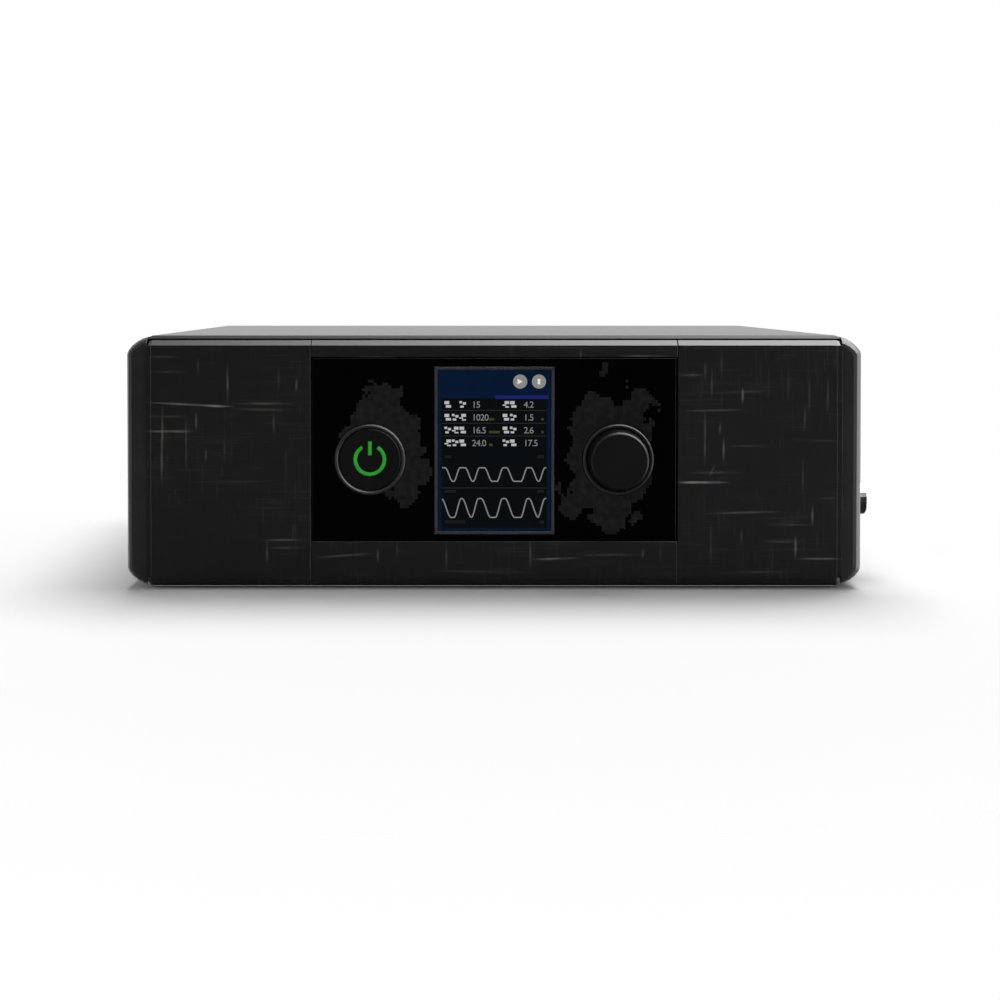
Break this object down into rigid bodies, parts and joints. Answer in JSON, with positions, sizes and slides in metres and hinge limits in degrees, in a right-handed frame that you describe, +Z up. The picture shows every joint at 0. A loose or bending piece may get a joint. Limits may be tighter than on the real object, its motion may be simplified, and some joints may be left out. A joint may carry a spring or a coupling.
{
  "type": "bilevel positive airway pressure machine",
  "caption": "Low wide breathing-support machine with a glossy front window, upright display, lit power button, turning selector knob, rear air outlet, filter and mains inlet.",
  "frame": {"origin": "middle of the footprint's box, on the surface that the feet stand on", "axes": "+Z up, -Y out of the front with the display, +X towards the side with the gas fitting"},
  "size_m": [0.3146, 0.228, 0.1044],
  "materials": {
    "linen_black": "moulded black with fine crossed scratches, satin",
    "satin_black": "fine-grained satin black",
    "gloss_black": "polished black",
    "dark_grey": "plain moulded dark grey",
    "display_glass": "lit display under flat cover glass",
    "display_grey": "satin grey",
    "green_light": "lit green diffuser",
    "steel": "machined, lightly brushed",
    "board_green": "lacquered circuit board",
    "grey_plastic": "plain moulded grey",
    "white_plastic": "plain moulded white",
    "rubber": "matt black rubber",
    "foam": "open-cell foam",
    "filter": "white fibre pad",
    "copper": "varnished windings",
    "clear_tube": "milky soft tube"
  },
  "bodies": {
    "case": {"bottom_case": "satin_black", "top_cover": "satin_black", "left_cheek": "satin_black", "right_cheek": "satin_black", "left_front_panel": "linen_black", "centre_front_panel": "linen_black", "right_front_panel": "linen_black", "front_frame": "dark_grey", "front_window": "gloss_black", "display_frame": "display_grey", "display_glass": "display_glass", "display_module": "steel", "front_board": "board_green", "power_button_ring": "satin_black", "power_switch": "dark_grey", "knob_ring": "satin_black", "encoder_body": "grey_plastic", "rear_panel": "satin_black", "noise_box": "grey_plastic", "noise_box_lid": "grey_plastic", "noise_foam": "foam", "blower_lower_housing": "white_plastic", "blower_upper_housing": "white_plastic", "blower_mount_1": "rubber", "blower_mount_2": "rubber", "blower_mount_3": "rubber", "motor_stator": "copper", "outlet_sleeve": "rubber", "outlet_port": "satin_black", "inlet_filter": "filter", "gas_fitting": "steel", "gas_fitting_nut": "steel", "gas_tube": "clear_tube", "main_board": "board_green", "alarm_buzzer": "dark_grey", "power_board": "board_green", "transformer": "copper", "power_capacitor": "dark_grey", "mains_inlet": "dark_grey", "rocker_housing": "dark_grey", "foot_1": "rubber", "foot_2": "rubber", "foot_3": "rubber", "foot_4": "rubber", "case_screw_1": "steel", "case_screw_2": "steel", "case_screw_3": "steel", "case_screw_4": "steel"},
    "power_button": {"power_button": "gloss_black", "power_light_guide": "green_light", "power_switch_plunger": "white_plastic"},
    "encoder_plunger": {"encoder_plunger": "white_plastic"},
    "selector": {"selector_knob": "satin_black", "encoder_shaft": "steel"},
    "blower_rotor": {"impeller": "white_plastic", "rotor_shaft": "steel", "motor_rotor": "steel"},
    "mains_rocker": {"rocker_paddle": "gloss_black"},
    "filter_cover": {"filter_cover": "satin_black"}
  },
  "joints": [
    {"name": "power_button_press", "type": "slide", "parent": "case", "child": "power_button", "axis": [0, 1, 0], "range_m": [0, 0.0012], "stiffness_N_per_m": 1200, "springref_m": -0.0004},
    {"name": "knob_press", "type": "slide", "parent": "case", "child": "encoder_plunger", "axis": [0, 1, 0], "range_m": [0, 0.0008], "stiffness_N_per_m": 2500, "springref_m": -0.0003},
    {"name": "knob_turn", "type": "hinge", "parent": "encoder_plunger", "child": "selector", "pos_m": [0.04505, -0.114, 0.0536], "axis": [0, 1, 0], "continuous": true},
    {"name": "blower_spin", "type": "hinge", "parent": "case", "child": "blower_rotor", "pos_m": [-0.07475, 0.013, 0.03], "axis": [0, 0, 1], "continuous": true},
    {"name": "mains_switch_rock", "type": "hinge", "parent": "case", "child": "mains_rocker", "pos_m": [0.05525, 0.0881, 0.035], "axis": [1, 0, 0], "range_deg": [0, 16]},
    {"name": "filter_cover_pull", "type": "slide", "parent": "case", "child": "filter_cover", "axis": [0, 1, 0], "range_m": [0, 0.03]}
  ]
}
